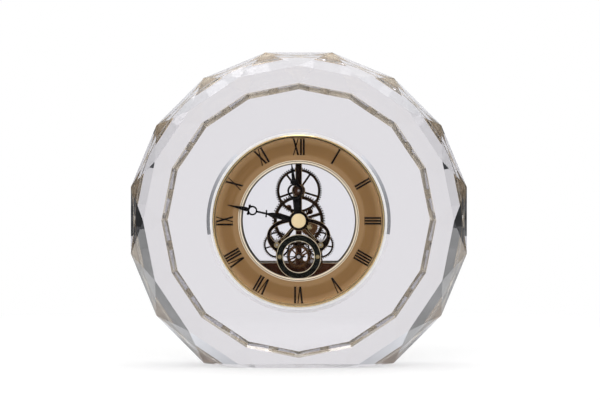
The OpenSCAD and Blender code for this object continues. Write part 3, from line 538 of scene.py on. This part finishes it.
def letter_strokes(letter, height):
    """The strokes of one letter, from its left edge."""
    wide = LETTER_WIDTH[letter]
    left, right = THICK / 2, wide - THICK / 2
    top = height - SERIF_T
    if letter == "I":
        strokes = [stroke(left, left, THICK, height)]
        ends = [(left, THICK, 0), (left, THICK, top)]
    elif letter == "X":
        strokes = [stroke(right, left, THICK, height), stroke(left, right, THIN, height)]
        ends = [(right, THICK, 0), (left, THIN, 0), (left, THICK, top), (right, THIN, top)]
    else:
        middle = wide / 2
        strokes = [stroke(middle - V_FOOT, left, THICK, height),
                   stroke(middle + V_FOOT, right, THIN, height)]
        ends = [(left, THICK, top), (right, THIN, top)]
    return strokes + [serif(*end) for end in ends]


def numeral_strokes(word, height):
    """The strokes of one numeral, centred on zero."""
    strokes = []
    x = 0
    for letter in word:
        for kind, points in letter_strokes(letter, height):
            strokes.append((kind, [(px + x, py) for px, py in points]))
        x += LETTER_WIDTH[letter] + BAR_GAP
    middle = (x - BAR_GAP) / 2
    return [(kind, [(px - middle, py) for px, py in points]) for kind, points in strokes]


def add_stroke(bm, points, lift):
    """A thin raised prism on the dial from an outline in the dial's plane."""
    lower = [bm.verts.new((x, DIAL_FACE_Y, z)) for x, z in points]
    upper = [bm.verts.new((x, DIAL_FACE_Y - lift, z)) for x, z in points]
    bm.faces.new(upper)
    bm.faces.new(list(reversed(lower)))
    count = len(points)
    for i in range(count):
        j = (i + 1) % count
        bm.faces.new([upper[j], upper[i], lower[i], lower[j]])


def numerals():
    """Twelve radial numerals printed on the dial, their feet towards the centre."""
    bm = bmesh.new()
    height = NUMERAL_HIGH - NUMERAL_LOW
    for hour, word in enumerate(NUMERALS):
        turn = math.radians(30 * hour)
        for kind, outline in numeral_strokes(word, height):
            points = []
            for across, up in outline:
                reach = NUMERAL_LOW + up
                x = reach * math.sin(turn) + across * math.cos(turn)
                z = reach * math.cos(turn) - across * math.sin(turn)
                points.append((CENTRE.x + x * MM, CENTRE.z + z * MM))
            add_stroke(bm, points, INK[kind] * MM)
    bmesh.ops.recalc_face_normals(bm, faces=bm.faces)
    mesh = mesh_of(bm, "numerals")
    mesh.materials.append(FINISH["hand"])
    new_piece("numerals", mesh, "insert")


def dress_nodes():
    """Gives every CAD node that shows its finish."""
    for finish, names in NODE_FINISH.items():
        for name in names:
            nodes[name].data.materials[0] = FINISH[finish]


# Studio: strength of the world for the rays that light the clock; the rays that show it see 1
SOFT_LIGHT = 0.7
# The floor glows for the rays that show it: NEAR_GLOW up to GLOW_NEAR metres from the clock, and
# as white as the background from GLOW_FAR
FLOOR_HALF = 12.0
GLOW_NEAR, GLOW_FAR = 0.3, 0.45
NEAR_GLOW = 0.2
# Streaks of the cards: lumps per metre along X, Y and Z, and the noise between black and glow
STREAK_LUMPS = (2, 2, 14)
STREAK_START, STREAK_END = 0.4, 0.62
# Cards at the sides, dark below and in front, fading to white at the back and the top
SIDE_X, SIDE_FRONT, SIDE_BACK, SIDE_TOP = 0.42, -0.6, 1.0, 0.75
SIDE_GLOW = 0.14
SIDE_FADE = {"Y": (0.55, 0.95), "Z": (0.42, 0.75)}
# A black disc where the flat lens mirrors, seen from the camera
DISC_Y, DISC_R, DISC_SIDES = -0.5, 0.067, 48
DISC_GLOW = 0.01
# Lamps, which all point at LAMP_AIM: place, size in metres, power in watts
LAMP_AIM = Vector((0, 0, 0.07))
LAMPS = {
    "key": ((-0.7, -1.3, 1.3), 0.9, 8),
    "fill": ((0.9, -1.2, 0.9), 0.9, 4),
    "top": ((0.0, 0.1, 1.4), 0.6, 4),
}


def on_stage(name, mesh, height=0.0):
    """A piece of the studio, which is no part of the clock."""
    piece = bpy.data.objects.new(name, mesh)
    piece.location = (0, 0, height)
    bpy.context.scene.collection.objects.link(piece)
    return piece


def seen_directly(tree):
    """One for the rays that show a surface, by reflection or through glass too; else zero."""
    path = add(tree, "LightPath").outputs
    seen = maths(tree, "MAXIMUM", path["Is Camera Ray"], path["Is Glossy Ray"])
    return maths(tree, "MAXIMUM", seen, path["Is Transmission Ray"])


def white_world():
    """Plain soft light, seen as white by the camera, by metal and through glass."""
    world = bpy.data.worlds.new("studio")
    bpy.context.scene.world = world
    world.use_nodes = True
    tree = world.node_tree
    strength = spread(tree, seen_directly(tree), SOFT_LIGHT, 1.0, 0.0, 1.0)
    set_inputs(tree.nodes["Background"], {"Color": (1.0, 1.0, 1.0), "Strength": strength})


def floor():
    """The pale floor that the clock stands on."""
    bm = bmesh.new()
    bmesh.ops.create_grid(bm, x_segments=1, y_segments=1, size=FLOOR_HALF)
    values = {"Roughness": 0.8, "Specular IOR Level": 0.0, "Emission Color": (1.0, 1.0, 1.0)}
    material, tree, shader = new_material("pale_floor", values)
    away = vectors(tree, "LENGTH", place(tree))
    seen = seen_directly(tree)
    glow = spread(tree, away, NEAR_GLOW, 1.0, GLOW_NEAR, GLOW_FAR)
    far = spread(tree, away, 0.0, 1.0, GLOW_NEAR, GLOW_FAR)
    pale = blend(tree, (0.78, 0.78, 0.78), (0.82, 0.82, 0.82), noise(tree, 3, 2))
    black = maths(tree, "MULTIPLY", far, seen)
    set_inputs(shader, {"Base Color": mix(tree, black, pale, (0.0, 0.0, 0.0)),
                        "Emission Strength": maths(tree, "MULTIPLY", glow, seen)})
    mesh = mesh_of(bm, "floor")
    mesh.materials.append(material)
    on_stage("floor", mesh, cad_low.z)


def card(name, corners, glow, fade):
    """A card that only facets and metal show: streaks from black to a glow, fading to white."""
    bm = bmesh.new()
    bm.faces.new([bm.verts.new(c) for c in corners])
    values = {"Base Color": (0.01, 0.01, 0.01), "Roughness": 0.9, "Specular IOR Level": 0.0,
              "Emission Color": (0.93, 0.97, 1.0)}
    material, tree, shader = new_material(name, values)
    streaks = stretched_noise(tree, STREAK_LUMPS, 5, 0.6)
    shown = spread(tree, streaks, 0.0, glow, STREAK_START, STREAK_END)
    parts = split(tree, place(tree))
    for axis, (start, end) in fade.items():
        shown = maths(tree, "MAXIMUM", shown, spread(tree, parts[axis], 0.0, 1.0, start, end))
    set_inputs(shader, {"Emission Strength": shown})
    mesh = mesh_of(bm, name)
    mesh.materials.append(material)
    piece = on_stage(name, mesh)
    piece.visible_camera = False
    piece.visible_diffuse = False
    piece.visible_shadow = False
    return piece


def side_cards():
    """A card at each side of the clock."""
    for x, name in ((-SIDE_X, "left_card"), (SIDE_X, "right_card")):
        corners = [(x, SIDE_FRONT, 0), (x, SIDE_BACK, 0), (x, SIDE_BACK, SIDE_TOP),
                   (x, SIDE_FRONT, SIDE_TOP)]
        card(name, corners, SIDE_GLOW, SIDE_FADE)


def black_disc():
    """The disc that keeps glare off the dial and the window, shown by mirrored rays alone."""
    reach = -DISC_Y / CAMERA_DISTANCE
    x, z = -CAMERA_X * reach, CENTRE.z + (CENTRE.z - CAMERA_Z) * reach
    turns = [2 * math.pi * i / DISC_SIDES for i in range(DISC_SIDES)]
    corners = [(x + DISC_R * math.sin(a), DISC_Y, z + DISC_R * math.cos(a)) for a in turns]
    card("black_disc", corners, DISC_GLOW, {}).visible_transmission = False


def soft_lamp(name, spot, size, power):
    """A large soft lamp that points at the clock."""
    data = bpy.data.lights.new(name, "AREA")
    data.shape = "DISK"
    data.size = size
    data.energy = power
    lamp = bpy.data.objects.new(name, data)
    lamp.location = spot
    lamp.rotation_euler = (LAMP_AIM - Vector(spot)).to_track_quat("-Z", "Y").to_euler()
    bpy.context.scene.collection.objects.link(lamp)


def camera():
    """The photograph's view, level and nearly square on."""
    data = bpy.data.cameras.new("camera")
    data.sensor_width = SENSOR
    data.lens = LENS
    view = bpy.data.objects.new("camera", data)
    view.location = (CAMERA_X, -CAMERA_DISTANCE, CAMERA_Z)
    turn = -math.atan2(AIM_X - CAMERA_X, CAMERA_DISTANCE)
    view.rotation_euler = (math.radians(90), 0, turn)
    bpy.context.scene.collection.objects.link(view)
    bpy.context.scene.camera = view


bpy.context.scene.view_settings.view_transform = "Standard"
camera()
white_world()
floor()
side_cards()
black_disc()
for lamp_name, facts in LAMPS.items():
    soft_lamp(lamp_name, *facts)

dress_nodes()
for plate, facts in CHAMFERED.items():
    chamfered(plate, *facts)
numerals()
